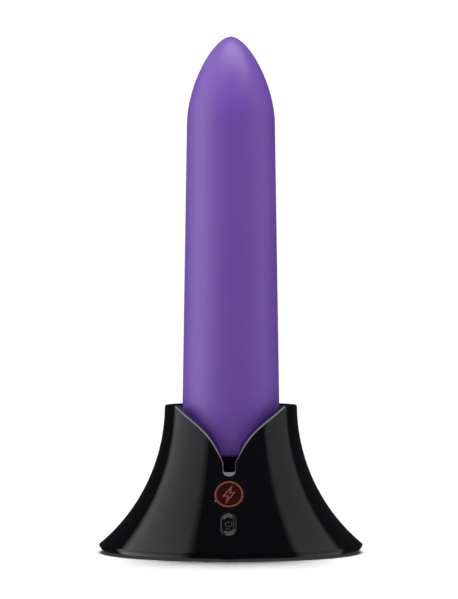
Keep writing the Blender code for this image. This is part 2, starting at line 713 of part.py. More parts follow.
# ---------------------------------------------------------------- what moves together
HANDHELD_PARTS = (
    "silicone_sleeve housing_left housing_right motor_can motor_bush motor_magnet_ring "
    "motor_end_cap motor_brush_left motor_brush_right motor_boot battery_cell "
    "battery_tab_positive battery_tab_negative control_board microcontroller_chip charging_chip "
    "filter_capacitor motor_lead_red motor_lead_black charge_lead_left charge_lead_right "
    "end_cap contact_left contact_right seal_ring switch_board switch_body"
).split()
ROTOR_PARTS = "motor_shaft motor_armature motor_commutator eccentric_weight".split()


def axis_empty(name, place, parent=None):
    """An empty on the axis of a movement, which the moving pieces are parented to."""
    empty = bpy.data.objects.new(name, None)
    empty.empty_display_size = 5 * MM
    PARTS.objects.link(empty)
    empty.matrix_world = Matrix.Translation(Vector(place) * MM)
    if parent:
        hold(parent, empty)
    return empty


def hold(parent, *children):
    """Parents the children and leaves each where it is."""
    bpy.context.view_layer.update()
    for child in children:
        child.parent = parent
        child.matrix_parent_inverse = parent.matrix_world.inverted()


def named(*names):
    return [bpy.data.objects[name] for name in names]


def make_motion_axes():
    """The handheld body lifts, its rotor spins, both buttons press and the charging pins sink."""
    handheld = axis_empty("handheld_axis", (0, 0, WAND_BOTTOM_Z))
    hold(handheld, *named(*HANDHELD_PARTS))
    rotor = axis_empty("rotor_axis", (0, 0, MOTOR_BOTTOM_Z), parent=handheld)
    hold(rotor, *named(*ROTOR_PARTS))
    power = axis_empty("power_button_axis", (0, 0, WAND_BOTTOM_Z), parent=handheld)
    hold(power, *named("power_button", "switch_plunger"))
    press = axis_empty("dock_button_axis", (0, 0, 0))
    press.matrix_world = frame_at(BUTTON_Z)
    hold(press, *named("dock_button", "dock_switch_plunger"))
    for side, sign in (("left", -1), ("right", 1)):
        pin = axis_empty(f"pin_axis_{side}", (sign * CONTACT_X, 0, FLOOR_Z))
        hold(pin, *named(f"pin_plunger_{side}"))


make_sleeve()
make_housing()
make_motor()
make_battery()
make_control_board()
make_wand_leads()
make_end_cap()
make_shell()
make_base()
make_contact_block()
make_front_controls()
make_dock_electronics()
make_motion_axes()
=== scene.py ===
"""The looks of the handheld massager and its charging dock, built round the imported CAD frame.

Everything is in the row frame: +Z up, the front faces -Y. Sizes are in millimetres and the helpers
turn them into metres.
"""

import json
import math
from functools import partial

import bmesh
import bpy
from mathutils import Matrix, Vector


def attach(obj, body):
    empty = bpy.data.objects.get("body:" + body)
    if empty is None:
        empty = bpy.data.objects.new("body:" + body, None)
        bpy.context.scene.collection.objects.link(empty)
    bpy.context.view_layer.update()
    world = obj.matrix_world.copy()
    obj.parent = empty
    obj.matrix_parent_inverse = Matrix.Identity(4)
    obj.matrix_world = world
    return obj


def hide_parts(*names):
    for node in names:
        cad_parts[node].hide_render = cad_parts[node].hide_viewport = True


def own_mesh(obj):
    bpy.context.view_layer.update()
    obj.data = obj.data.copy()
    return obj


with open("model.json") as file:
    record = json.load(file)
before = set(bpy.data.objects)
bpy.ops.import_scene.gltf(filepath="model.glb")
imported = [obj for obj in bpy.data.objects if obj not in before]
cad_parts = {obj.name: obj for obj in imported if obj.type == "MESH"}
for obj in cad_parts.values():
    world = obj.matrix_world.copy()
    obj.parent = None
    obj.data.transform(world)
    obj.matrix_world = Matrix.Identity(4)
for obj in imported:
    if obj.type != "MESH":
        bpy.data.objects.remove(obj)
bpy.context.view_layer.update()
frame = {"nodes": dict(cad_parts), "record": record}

MM = 0.001

# Handheld body.
TIP_Z = 133.85
NOSE_HANDLE = 4.43
SHOULDER_Z = 111.25
SHOULDER_R = 11.45
SHOULDER_HANDLE = 10.4
BARREL_TAPER = 0.0155
SLEEVE_END_Z = 25.0
SLEEVE_WALL = 1.6
WAND_BOTTOM_Z = 19.6
CAP_R = 12.2
SPIGOT_R = 9.2
SPIGOT_TOP_Z = 32.0
SEAL_GROOVE = (28.1, 29.5)
CONTACT_X = 5.8

# Dock.
DOCK_H = 38.2
RIM_R = 17.2
FLARE_R = 47.0
FOOT_R = 34.2
FOOT_EDGE_Z = 2.0
SHELL_BOTTOM_Z = 0.6
SHELL_WALL = 2.2
FUNNEL_R = 14.6
SOCKET_R = 13.15
FUNNEL_END_Z = 26.0
FUNNEL_TOP_Z = DOCK_H - 1.0
TUBE_R = 14.65
TUBE_END_Z = 16.2
CEILING_Z = 19.8
SEAT_R = 30.2
SEAT_Z = 3.2
RIM_ROUND = 0.6
FLARE_TOP_Z = DOCK_H - RIM_ROUND
PLATE_R = 29.9
PLATE_Z = (0.9, 2.9)
FOOT_PAD_R = 4.0
SCREW_R = 1.15
SCREW_HEAD_R = 2.4
SCREW_HEAD_Z = (1.0, 1.9)
BLOCK_R = 12.8
BLOCK_Z = (14.0, 19.3)

# Notch in the dock's front wall.
SLOT_X = 1.5
NOTCH_CURVE = ((14.0, DOCK_H), (7.6, 32.5), (5.2, 32.5), (SLOT_X, 23.8))
NECK_Z = 24.0  # where the slot begins to widen into the notch
SLOT_BOTTOM_Z = 21.6
SLOT_CORNER = 0.5
EDGE_WIDTH = 0.42  # bevel along the notch's outer edge
SLOT_EDGE = 0.16  # the same bevel at the sides of the slot
LIP_DEPTH = 1.0  # the rounded lip at the foot of the slot
WALL_DRAFT = 0.7  # how much narrower the notch is at its inner edge

# Controls on the dock's front.
LENS_Z = 16.15
LENS_R = 3.8
BUTTON_Z = 8.8
BUTTON_W = 4.2
BUTTON_L = 7.2
CONTROL_GAP = 0.12
LENS_CHAMFER = 0.02
BUTTON_CHAMFER = 0.12
BUTTON_DISH = 0.24  # how far the button's dish stands off the flare
MARK_RING_R = 3.4
MARK_LINE = 0.44

# Camera: places and sizes in metres, its turn round the object in degrees, its lens in millimetres.
CAMERA_FAR = 0.871
CAMERA_HEIGHT = 0.0655
CAMERA_ASIDE = 0.0005
CAMERA_TURN = 1.3
CAMERA_LENS = 201.3

# Stage: the radius of the floor and of the backdrop in metres, and the point the lights aim at.
FLOOR_R = 4.0
BACKDROP_R = 3.9
LIGHT_AIM = (0, 0, 0.07)

# Reflection cards: their distance from the dock and the height of their middle, in millimetres.
CARD_FAR = 700
CARD_HEIGHT = 20

# Rear port and its socket.
PORT_Z = 9.75
PORT_W = 12.4
PORT_H = 7.0
USB_W = 9.0
USB_H = 3.3
USB_Y = (16.5, 24.0)

# Coil springs inside the charging pins.
SPRING_Z = (11.0, 14.2)
SPRING_R = 0.5
SPRING_WIRE_R = 0.1
SPRING_TURNS = 4

SIDES = (("left", -1), ("right", 1))
SCREW_PLACES = [(22.0, a) for a in (45, 135, 225, 315)]
FOOT_PLACES = [(24.0, a) for a in (0, 90, 180, 270)]


# ---------------------------------------------------------------- outlines
def bezier(points, count):
    """A cubic curve through four control points, as count + 1 points."""
    a, b, c, d = (Vector(p) for p in points)
    found = []
    for i in range(count + 1):
        t = i / count
        s = 1 - t
        found.append(a * s**3 + b * (3 * s * s * t) + c * (3 * s * t * t) + d * t**3)
    return found


def offset(points, distance):
    """A line of points moved to its left by a distance."""
    moved = []
    for before, here, after in zip(points[:1] + points, points, points[1:] + points[-1:]):
        along = (after - before).normalized()
        moved.append(here + Vector((-along.y, along.x)) * distance)
    return moved


def fillet(corners, closed=False, arc=4):
    """A polygon of (x, y) or (x, y, radius) corners, with an arc in place of each that has a radius."""
    count = len(corners)
    found = []
    for i, corner in enumerate(corners):
        here = Vector(corner[:2])
        ends = i in (0, count - 1) and not closed
        if len(corner) < 3 or ends:
            found.append(here)
            continue
        before = (Vector(corners[i - 1][:2]) - here).normalized()
        after = (Vector(corners[(i + 1) % count][:2]) - here).normalized()
        half = before.angle(after) / 2
        start = here + before * corner[2] / math.tan(half)
        stop = here + after * corner[2] / math.tan(half)
        middle = here + (before + after).normalized() * corner[2] / math.sin(half)
        a, b = start - middle, stop - middle
        sweep = a.angle(b)
        for k in range(arc + 1):
            t = k / arc
            part = a * math.sin((1 - t) * sweep) + b * math.sin(t * sweep)
            found.append(middle + part / math.sin(sweep))
    return found


def barrel_radius(z):
    return SHOULDER_R + (SHOULDER_Z - z) * BARREL_TAPER


def flare_radius(z):
    drop = max(DOCK_H - z, 0.0)
    return RIM_R + FLARE_R - math.sqrt(FLARE_R**2 - drop**2)


def flare_lean(z):
    return math.asin(max(DOCK_H - z, 0.0) / FLARE_R)


def flare_normal(place):
    """Outward normal of the flare at a point on it, in millimetres."""
    lean = flare_lean(place.z)
    out = Vector((place.x, place.y, 0)).normalized()
    return Vector((out.x * math.cos(lean), out.y * math.cos(lean), math.sin(lean)))


def frame_at(z):
    """A frame on the flare's front at a height, in millimetres: Z out of the surface, Y up along it."""
    place = Vector((0, -flare_radius(z), z))
    out = flare_normal(place)
    across = Vector((1, 0, 0))
    turn = Matrix((across, out.cross(across), out)).transposed().to_4x4()
    return Matrix.Translation(place) @ turn


def on_flare(here, x, y, lift):
    """The point over (x, y) of a frame on the flare, raised off the flare by lift."""
    out = here.to_3x3().col[2]
    place = here @ Vector((x, y, 0))
    for _ in range(8):
        gap = math.hypot(place.x, place.y) - flare_radius(place.z)
        place -= out * gap / max(out.dot(flare_normal(place)), 0.3)
    return place + flare_normal(place) * lift


def circle(radius, count=64):
    """Points round a circle."""
    turns = [2 * math.pi * i / count for i in range(count)]
    return [Vector((radius * math.cos(a), radius * math.sin(a))) for a in turns]


def oval(width, length, count=72):
    """A long oval with straight sides, as points round it."""
    r = width / 2
    straight = length / 2 - r
    found = []
    for i in range(count):
        angle = 2 * math.pi * i / count
        y = r * math.sin(angle)
        found.append(Vector((r * math.cos(angle), y + math.copysign(straight, y))))
    return found


def rectangle(w, h):
    """The corners of a rectangle that reaches w and h each way from its middle."""
    return [Vector((w, h)), Vector((-w, h)), Vector((-w, -h)), Vector((w, -h))]


def rounded_box(width, height, corner, arc=6):
    """A rectangle with round corners, as points round it."""
    w, h = width / 2, height / 2
    return fillet([(w, h, corner), (-w, h, corner), (-w, -h, corner), (w, -h, corner)], True, arc)


# ---------------------------------------------------------------- making meshes
def new_object(name, verts, faces):
    """A closed mesh object from vertices in millimetres, with its faces turned outwards."""
    mesh = bpy.data.meshes.new(name)
    mesh.from_pydata([tuple(c * MM for c in v) for v in verts], [], faces)
    form = bmesh.new()
    form.from_mesh(mesh)
    bmesh.ops.recalc_face_normals(form, faces=form.faces)
    if form.calc_volume(signed=True) < 0:
        bmesh.ops.reverse_faces(form, faces=form.faces)
    form.to_mesh(mesh)
    form.free()
    made = bpy.data.objects.new(name, mesh)
    bpy.context.scene.collection.objects.link(made)
    return made


def smooth(made, angle=32):
    """Shades a piece smooth, except over edges sharper than an angle."""
    made.data.shade_smooth()
    made.data.set_sharp_from_angle(angle=math.radians(angle))
    return made


def lathe(name, profile, steps, at=(0, 0)):
    """A profile of (radius, height) points turned about an upright axis. It closes on itself, or ends
    on the axis."""
    verts, rings = [], []
    for point in profile:
        r, z = point[0], point[1]
        if r < 1e-6:
            rings.append([len(verts)])
            verts.append((at[0], at[1], z))
            continue
        rings.append(list(range(len(verts), len(verts) + steps)))
        for k in range(steps):
            angle = 2 * math.pi * k / steps
            verts.append((at[0] + r * math.cos(angle), at[1] + r * math.sin(angle), z))
    pairs = list(zip(rings, rings[1:]))
    if profile[0][0] > 1e-6:
        pairs.append((rings[-1], rings[0]))
    return new_object(name, verts, skin(pairs, steps))


def numbered(count, steps):
    """The vertex numbers of a count of rings, each of so many steps."""
    return [list(range(i * steps, (i + 1) * steps)) for i in range(count)]


def skin(pairs, steps):
    """Faces between pairs of rings; a ring of one vertex is a pole."""
    faces = []
    for low, high in pairs:
        for k in range(steps):
            m = (k + 1) % steps
            if len(low) == 1:
                faces.append((low[0], high[m], high[k]))
            elif len(high) == 1:
                faces.append((low[k], low[m], high[0]))
            else:
                faces.append((low[k], low[m], high[m], high[k]))
    return faces


def loft(name, rings):
    """Rings of the same number of points joined in turn, with flat ends."""
    steps = len(rings[0])
    verts = [p for ring in rings for p in ring]
    index = numbered(len(rings), steps)
    faces = skin(list(zip(index, index[1:])), steps)
    faces += [tuple(index[0]), tuple(index[-1])]
    return new_object(name, verts, faces)


def prism(name, outline, low, high, here, round_edge=0.0):
    """An outline in a frame's XY, from low to high along its Z, with rounded edges."""
    levels = [(low, 0.0), (high, 0.0)]
    if round_edge:
        levels = []
        for k in range(4):
            angle = math.pi / 2 * k / 3
            levels.append((low + round_edge * (1 - math.sin(angle)), 1 - math.cos(angle)))
        levels = levels[::-1] + [(high + low - z, s) for z, s in levels]
    rings = []
    for z, share in levels:
        ring = shrink(outline, round_edge * share)
        rings.append([here @ Vector((p.x, p.y, z)) for p in ring])
    return loft(name, rings)


def shrink(outline, distance):
    """A closed outline, counter-clockwise, moved inwards by a distance."""
    if not distance:
        return outline
    count = len(outline)
    moved = []
    for i, here in enumerate(outline):
        along = (outline[(i + 1) % count] - outline[i - 1]).normalized()
        moved.append(here + Vector((-along.y, along.x)) * distance)
    return moved


def carve(made, cutters):
    """Cuts the cutters out of an object and removes them."""
    for cutter in cutters:
        boolean = made.modifiers.new("carve", "BOOLEAN")
        boolean.operation = "DIFFERENCE"
        boolean.object = cutter
    graph = bpy.context.evaluated_depsgraph_get()
    mesh = bpy.data.meshes.new_from_object(made.evaluated_get(graph))
    made.modifiers.clear()
    made.data = mesh
    for cutter in cutters:
        bpy.data.objects.remove(cutter, do_unlink=True)
    return made


def true_flare_normals(made, reach=0.02):
    """Gives the faces that lie on the flare the flare's own normals, so gloss runs over them evenly."""
    mesh = made.data
    places = [v.co / MM for v in mesh.vertices]
    on_it = []
    for p in places:
        near = abs(math.hypot(p.x, p.y) - flare_radius(p.z)) < reach
        on_it.append(near and FOOT_EDGE_Z - 0.1 < p.z < DOCK_H)
    normals = [Vector((0, 0, 0))] * len(mesh.loops)
    for face in mesh.polygons:
        corners = list(face.vertices)
        if not all(on_it[v] for v in corners):
            continue
        middle = sum((places[v] for v in corners), Vector()) / len(corners)
        if face.normal.dot(flare_normal(middle)) < 0.95:
            continue
        for loop, v in zip(face.loop_indices, corners):
            normals[loop] = flare_normal(places[v])
    mesh.normals_split_custom_set(normals)


def add(made, material, body, slot, *nodes):
    """Gives a finished piece its material and its body, and hides the CAD nodes it stands for; the slot
    is not used.
    """
    if not made.data.materials:
        made.data.materials.append(material)
    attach(made, body)
    if nodes:
        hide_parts(*nodes)


# ---------------------------------------------------------------- materials
def tree_of(material):
    return material.node_tree.nodes, material.node_tree.links


def shader_of(material):
    return material.node_tree.nodes["Principled BSDF"]


def surface(name, colour, roughness, metallic=0.0):
    """A plain material, which the functions after this one make uneven."""
    material = bpy.data.materials.new(name)
    material.use_nodes = True
    shader = shader_of(material)
    shader.inputs["Base Color"].default_value = (*colour, 1.0)
    shader.inputs["Roughness"].default_value = roughness
    shader.inputs["Metallic"].default_value = metallic
    return material


def noise(material, scale, detail=3.0, stretch=(1, 1, 1)):
    """A noise texture in object space; scale is in features for each metre."""
    nodes, links = tree_of(material)
    place = nodes.new("ShaderNodeTexCoord")
    mapping = nodes.new("ShaderNodeMapping")
    mapping.inputs["Scale"].default_value = stretch
    texture = nodes.new("ShaderNodeTexNoise")
    texture.inputs["Scale"].default_value = scale
    texture.inputs["Detail"].default_value = detail
    links.new(place.outputs["Object"], mapping.inputs["Vector"])
    links.new(mapping.outputs["Vector"], texture.inputs["Vector"])
    return texture.outputs["Fac"]


def spread(material, value, low, high, start=0.3, stop=0.7):
    """A value between start and stop mapped to low and high."""
    nodes, links = tree_of(material)
    remap = nodes.new("ShaderNodeMapRange")
    ends = {"From Min": start, "From Max": stop, "To Min": low, "To Max": high}
    for name, end in ends.items():
        remap.inputs[name].default_value = end
    links.new(value, remap.inputs["Value"])
    return remap.outputs["Result"]


def vary_colour(material, other, scale, detail=3.0, stretch=(1, 1, 1)):
    """Mixes the base colour with another by noise."""
    nodes, links = tree_of(material)
    shader = shader_of(material)
    mix = nodes.new("ShaderNodeMix")
    mix.data_type = "RGBA"
    mix.inputs["A"].default_value = shader.inputs["Base Color"].default_value
    mix.inputs["B"].default_value = (*other, 1.0)
    links.new(spread(material, noise(material, scale, detail, stretch), 0, 1), mix.inputs["Factor"])
    links.new(mix.outputs["Result"], shader.inputs["Base Color"])


def vary_roughness(material, low, high, scale, detail=4.0, stretch=(1, 1, 1)):
    """Spreads the roughness between low and high by noise."""
    value = spread(material, noise(material, scale, detail, stretch), low, high)
    material.node_tree.links.new(value, shader_of(material).inputs["Roughness"])


def grain(material, scale, depth, strength=0.5, detail=2.0, stretch=(1, 1, 1)):
    """Fine relief from noise; depth is in millimetres."""
    nodes, links = tree_of(material)
    bump = nodes.new("ShaderNodeBump")
    bump.inputs["Strength"].default_value = strength
    bump.inputs["Distance"].default_value = depth * MM
    links.new(noise(material, scale, detail, stretch), bump.inputs["Height"])
    links.new(bump.outputs["Normal"], shader_of(material).inputs["Normal"])


def glow(material, colour, strength):
    """Makes a material give off some light of its own."""
    shader = shader_of(material)
    shader.inputs["Emission Color"].default_value = (*colour, 1.0)
    shader.inputs["Emission Strength"].default_value = strength


def make_silicone():
    """Matte silicone: an even purple with a very fine moulded grain."""
    material = surface("silicone", (0.125, 0.048, 0.325), 0.45)
    vary_colour(material, (0.132, 0.052, 0.340), 55)
    vary_roughness(material, 0.41, 0.49, 240)
    grain(material, 5200, 0.012, 0.35)
    shader_of(material).inputs["Specular IOR Level"].default_value = 0.65
    return material


def make_gloss_black():
    """Polished black plastic, with faint handling marks in its gloss."""
    material = surface("gloss_black", (0.0030, 0.0030, 0.0040), 0.06)
    vary_colour(material, (0.0040, 0.0038, 0.0052), 90)
    vary_roughness(material, 0.045, 0.085, 130, 5.0)
    return material


def make_painted_highlight_edge():
    """The bevel along the notch, given a light grey colour: a painted highlight for the bright line it
    catches.
    """
    material = surface("polished_edge", (0.21, 0.20, 0.24), 0.22)
    vary_colour(material, (0.25, 0.24, 0.28), 300)
    vary_roughness(material, 0.16, 0.28, 500)
    return material


def make_satin_black(name, colour):
    """Dark moulded plastic with a fine even grain."""
    material = surface(name, colour, 0.34)
    shader_of(material).inputs["Specular IOR Level"].default_value = 0.35
    vary_colour(material, tuple(c * 1.25 for c in colour), 300)
    vary_roughness(material, 0.30, 0.42, 700)
    grain(material, 4200, 0.02, 0.5)
    return material


def make_rubber():
    """Dull black rubber."""
    material = surface("rubber", (0.018, 0.018, 0.019), 0.78)
    vary_colour(material, (0.028, 0.027, 0.026), 420)
    vary_roughness(material, 0.68, 0.88, 900)
    grain(material, 3200, 0.05, 0.7)
    return material


def make_metal(name, colour, other, roughness, stretch=(1, 1, 1)):
    """Bare or plated metal; a stretch draws its pattern out into fine lines."""
    material = surface(name, colour, roughness, 1.0)
    vary_colour(material, other, 350, stretch=stretch)
    vary_roughness(material, roughness * 0.75, roughness * 1.3, 1100, stretch=stretch)
    grain(material, 2600, 0.004, 0.4, stretch=stretch)
    return material


def make_plastic(name, colour, roughness=0.45):
    """Moulded plastic or a thin coating."""
    material = surface(name, colour, roughness)
    vary_colour(material, tuple(min(c * 1.15 + 0.002, 1) for c in colour), 260)
    vary_roughness(material, roughness * 0.85, roughness * 1.15, 800)
    grain(material, 3600, 0.015, 0.4)
    return material


def make_board():
    """Green solder mask over copper tracks that show as a fine lighter pattern."""
    material = surface("board", (0.006, 0.050, 0.022), 0.32)
    vary_colour(material, (0.012, 0.090, 0.038), 700, 0.0, (1, 6, 1))
    vary_roughness(material, 0.26, 0.40, 900)
    grain(material, 1200, 0.02, 0.4, 0.0)
    return material


def make_amber():
    """The lit lines of the mark: amber that glows a little."""
    material = surface("amber_light", (0.15, 0.045, 0.038), 0.3)
    vary_colour(material, (0.17, 0.055, 0.045), 900)
    glow(material, (0.85, 0.27, 0.20), 0.10)
    return material


def make_smoked():
    """The smoked lens round the mark, which glows a faint red."""
    material = surface("smoked_lens", (0.0055, 0.0028, 0.0030), 0.06)
    vary_colour(material, (0.0100, 0.0030, 0.0030), 240)
    vary_roughness(material, 0.045, 0.08, 150)
    glow(material, (0.85, 0.05, 0.04), 0.022)
    return material


SILICONE = make_silicone()
GLOSS = make_gloss_black()
PAINTED_HIGHLIGHT_EDGE = make_painted_highlight_edge()
SATIN = make_satin_black("satin_black", (0.006, 0.004, 0.012))
DARK = make_satin_black("dark_plastic", (0.012, 0.012, 0.013))
RUBBER = make_rubber()
STEEL = make_metal("steel", (0.58, 0.58, 0.60), (0.50, 0.50, 0.52), 0.28, (1, 1, 8))
GOLD = make_metal("gold_plate", (0.86, 0.64, 0.28), (0.78, 0.56, 0.24), 0.2)
COPPER = make_metal("copper", (0.72, 0.36, 0.20), (0.62, 0.30, 0.17), 0.32)
MAGNET = make_metal("magnet", (0.10, 0.10, 0.11), (0.14, 0.14, 0.15), 0.5)
NATURAL = make_plastic("natural_plastic", (0.56, 0.54, 0.50))
WRAP = make_plastic("cell_wrap", (0.03, 0.16, 0.42), 0.3)
CHIP = make_plastic("chip", (0.014, 0.014, 0.015), 0.5)
RED = make_plastic("red_lead", (0.48, 0.02, 0.02), 0.4)
BLACK = make_plastic("black_lead", (0.02, 0.02, 0.02), 0.4)
BOARD = make_board()
AMBER = make_amber()
SMOKED = make_smoked()
PRINT = make_plastic("grey_print", (0.09, 0.09, 0.10), 0.35)

STAGE = ("floor", "backdrop")

BY_SLOT = {
    "purple_silicone": SILICONE,
    "gloss_black": GLOSS,
    "dark_plastic": DARK,
    "natural_plastic": NATURAL,
    "rubber": RUBBER,
    "steel": STEEL,
    "brass": GOLD,
    "copper": COPPER,
    "magnet": MAGNET,
    "cell_wrap": WRAP,
    "board_green": BOARD,
    "chip_black": CHIP,
    "indicator_amber": AMBER,
    "lead_red": RED,
    "lead_black": BLACK,
}


# ---------------------------------------------------------------- handheld body
def make_sleeve():
    """The silicone sleeve, with a soft rolled lip at its lower end."""
    shoulder = Vector((SHOULDER_R, SHOULDER_Z))
    handle = shoulder + Vector((-BARREL_TAPER, 1)) * SHOULDER_HANDLE
    tip = bezier(((0, TIP_Z), (NOSE_HANDLE, TIP_Z), handle, shoulder), 44)
    barrel = []
    count = 70
    lip_r = SLEEVE_WALL / 2
    for i in range(1, count + 1):
        z = SHOULDER_Z + (SLEEVE_END_Z + lip_r - SHOULDER_Z) * i / count
        barrel.append(Vector((barrel_radius(z), z)))
    outer = tip + barrel
    inner = offset(outer, -SLEEVE_WALL)
    inner[0] = Vector((0, TIP_Z - SLEEVE_WALL))
    lip = []
    for k in range(1, 9):
        angle = math.pi * k / 9
        r = barrel_radius(SLEEVE_END_Z) + lip_r * (math.cos(angle) - 1)
        lip.append(Vector((r, SLEEVE_END_Z + lip_r * (1 - math.sin(angle)))))
    profile = outer + lip + inner[::-1]
    add(smooth(lathe("sleeve", profile, 144), 40), SILICONE, "wand", "purple_silicone", "silicone_sleeve")


def make_end_cap():
    """The cap that closes the sleeve: a spigot with a groove for the seal ring, a fine line round its
    side, a ring groove and a button hole underneath, and a hole for each charge contact."""
    profile = fillet(
        [
            (SPIGOT_R, SPIGOT_TOP_Z, 0.3),
            (SPIGOT_R, SEAL_GROOVE[1]),
            (8.55, SEAL_GROOVE[1]),
            (8.55, SEAL_GROOVE[0]),
            (SPIGOT_R, SEAL_GROOVE[0]),
            (SPIGOT_R, 24.7),
            (CAP_R, 24.7, 0.3),
            (CAP_R, 23.6),
            (CAP_R - 0.2, 23.45),
            (CAP_R - 0.2, 23.15),
            (CAP_R, 23.0),
            (CAP_R, WAND_BOTTOM_Z, 1.1),
            (10.2, WAND_BOTTOM_Z, 0.1),
            (10.1, WAND_BOTTOM_Z + 0.15, 0.1),
            (9.6, WAND_BOTTOM_Z + 0.15, 0.1),
            (9.5, WAND_BOTTOM_Z, 0.1),
            (4.6, WAND_BOTTOM_Z, 0.3),
            (3.05, WAND_BOTTOM_Z + 0.75, 0.2),
            (3.0, 21.4),
            (8.0, 21.4),
            (8.0, SPIGOT_TOP_Z, 0.3),
        ],
        True,
    )
    cap = lathe("base_cap", profile, 112)
    holes = []
    mouth = [(0, 22), (1.4, 22), (1.4, WAND_BOTTOM_Z + 0.25), (1.7, WAND_BOTTOM_Z - 0.05)]
    mouth += [(1.7, 18), (0, 18)]
    for _, sign in SIDES:
        holes.append(lathe("hole", mouth, 40, (sign * CONTACT_X, 0)))
    add(smooth(carve(cap, holes)), SATIN, "wand", "dark_plastic", "end_cap")


def make_contacts():
    """The two charge contacts: flanged pads whose faces sit in the end cap's holes."""
    stem = [(0, 22.8), (0.6, 22.8, 0.1), (0.6, 22.2)]
    flange = [(1.5, 22.2, 0.1), (1.5, 21.7, 0.1), (1.1, 21.7)]
    contact = fillet(stem + flange + [(1.1, 19.9, 0.35), (0, 19.9)])
    for side, sign in SIDES:
        made = smooth(lathe(f"charge_pad_{side}", contact, 32, (sign * CONTACT_X, 0)))
        add(made, GOLD, "wand", "brass", f"contact_{side}")


def make_power_button():
    """The round button under the handheld body, with a printed power symbol."""
    face_z = 20.02
    stem = [(0, 23.2), (1.2, 23.2, 0.15), (1.2, 22.4)]
    flange = [(3.7, 22.4, 0.15), (3.7, 21.7, 0.15), (2.7, 21.7)]
    face = [(2.7, 20.0, 0.45), (1.9, 19.92, 0.6), (0, 20.05)]
    made = smooth(lathe("power_key", fillet(stem + flange + face), 56))
    add(made, RUBBER, "power_button", "dark_plastic", "power_button")
    down = Matrix.Translation((0, 0, face_z)) @ Matrix.Rotation(math.pi, 4, "X")

    def level(x, y, lift):
        return down @ Vector((x, y, lift - 0.05))

    for name, path, closed in power_symbol(0.95):
        made = ribbon(f"power_key_{name}", path, 0.26, closed, level, 0.10, 0.05)
        add(made, PRINT, "power_button", "natural_plastic")


# ---------------------------------------------------------------- printed and lit symbols
def power_symbol(size):
    """A ring open at the top, with a bar in the gap, as named paths."""
    ring = []
    for i in range(41):
        angle = math.radians(90 + 40 + 280 * i / 40)
        ring.append(Vector((size * math.cos(angle), size * math.sin(angle))))
    bar = [Vector((0, size * (0.25 + 0.9 * i / 6))) for i in range(7)]
    return [("ring", ring, False), ("bar", bar, False)]


def charge_symbol():
    """A ring round a bolt, drawn in line."""
    half = [Vector((0.7, 2.3)), Vector((-1.4, -0.45)), Vector((-0.25, -0.45))]
    bolt = half + [-p for p in half]
    return [("ring", circle(MARK_RING_R, 96), True), ("bolt", bolt, True)]


def ribbon(name, path, width, closed, place, top, bottom, split=1):
    """A flat line of a width along a path, laid on a surface by place(x, y, lift). Its corners are
    mitred, and its sides are split into parts so that they follow the surface."""
    count = len(path)
    section = [(-0.5, -bottom), (-0.5, top * 0.4), (-0.38, top), (0.38, top), (0.5, top * 0.4)]
    section.append((0.5, -bottom))
    rows = []
    for i, here in enumerate(path):
        before = path[i - 1] if closed or i else here
        after = path[(i + 1) % count] if closed or i < count - 1 else here
        into = (here - before).normalized() if here != before else (after - here).normalized()
        away = (after - here).normalized() if here != after else into
        side = Vector((-(into + away).y, (into + away).x)).normalized()
        mitre = 1 / side.dot(Vector((-into.y, into.x)))
        row = []
        for across, lift in section:
            inside = across * into.cross(away) > 0
            spot = here + side * across * width * (mitre if inside else min(mitre, 1.8))
            row.append(Vector((spot.x, spot.y, lift)))
        rows.append(row)
    if closed:
        rows.append(rows[0])
    rings = []
    for low, high in zip(rows, rows[1:]):
        for k in range(split):
            rings.append([place(*a.lerp(b, k / split)) for a, b in zip(low, high)])
    if not closed:
        rings.append([place(*p) for p in rows[-1]])
        return smooth(loft(name, rings), 25)
    steps = len(section)
    verts = [p for ring in rings for p in ring]
    index = numbered(len(rings), steps)
    faces = skin(list(zip(index, index[1:] + index[:1])), steps)
    return smooth(new_object(name, verts, faces), 25)


# ---------------------------------------------------------------- dock shell
def inner_radius(z):
    """Radius of the socket and of the funnel above it."""
    if z <= FUNNEL_END_Z:
        return SOCKET_R
    share = (z - FUNNEL_END_Z) / (FUNNEL_TOP_Z - FUNNEL_END_Z)
    return SOCKET_R + (FUNNEL_R - SOCKET_R) * min(share, 1.0)


def shell_profile():
    """The shell's section: flare, rim, funnel, socket, cavity and foot."""
    flare = []
    rows = 52
    for i in range(rows + 1):
        z = FLARE_TOP_Z + (FOOT_EDGE_Z - FLARE_TOP_Z) * i / rows
        flare.append((flare_radius(z), z))
    foot = fillet(
        [
            (FOOT_R, FOOT_EDGE_Z),
            (FOOT_R - 0.05, FOOT_EDGE_Z - 0.5, 0.3),
            (FOOT_R - 0.7, SHELL_BOTTOM_Z, 0.4),
            (SEAT_R, SHELL_BOTTOM_Z, 0.25),
            (SEAT_R, SEAT_Z),
        ]
    )
    cavity = [(SEAT_R, SEAT_Z)]
    cavity_z = SEAT_Z + 0.2
    for i in range(11):
        z = cavity_z + (CEILING_Z - cavity_z) * i / 10
        arc = FLARE_R + SHELL_WALL
        r = RIM_R + FLARE_R - math.sqrt(arc**2 - (DOCK_H - z) ** 2)
        cavity.append((r, z))
    cavity += [(TUBE_R, CEILING_Z), (TUBE_R, TUBE_END_Z)]
    socket = fillet(
        [
            (TUBE_R, TUBE_END_Z),
            (SOCKET_R, TUBE_END_Z, 0.3),
            (SOCKET_R, FUNNEL_END_Z, 8.0),
            (FUNNEL_R, FUNNEL_TOP_Z, 1.0),
            (FUNNEL_R + 0.12, DOCK_H, 0.7),
            (RIM_R + 0.004, DOCK_H, RIM_ROUND - 0.05),
            (flare_radius(FLARE_TOP_Z), FLARE_TOP_Z),
        ],
        arc=7,
    )
    return flare + foot[1:-1] + cavity + socket[1:-1]


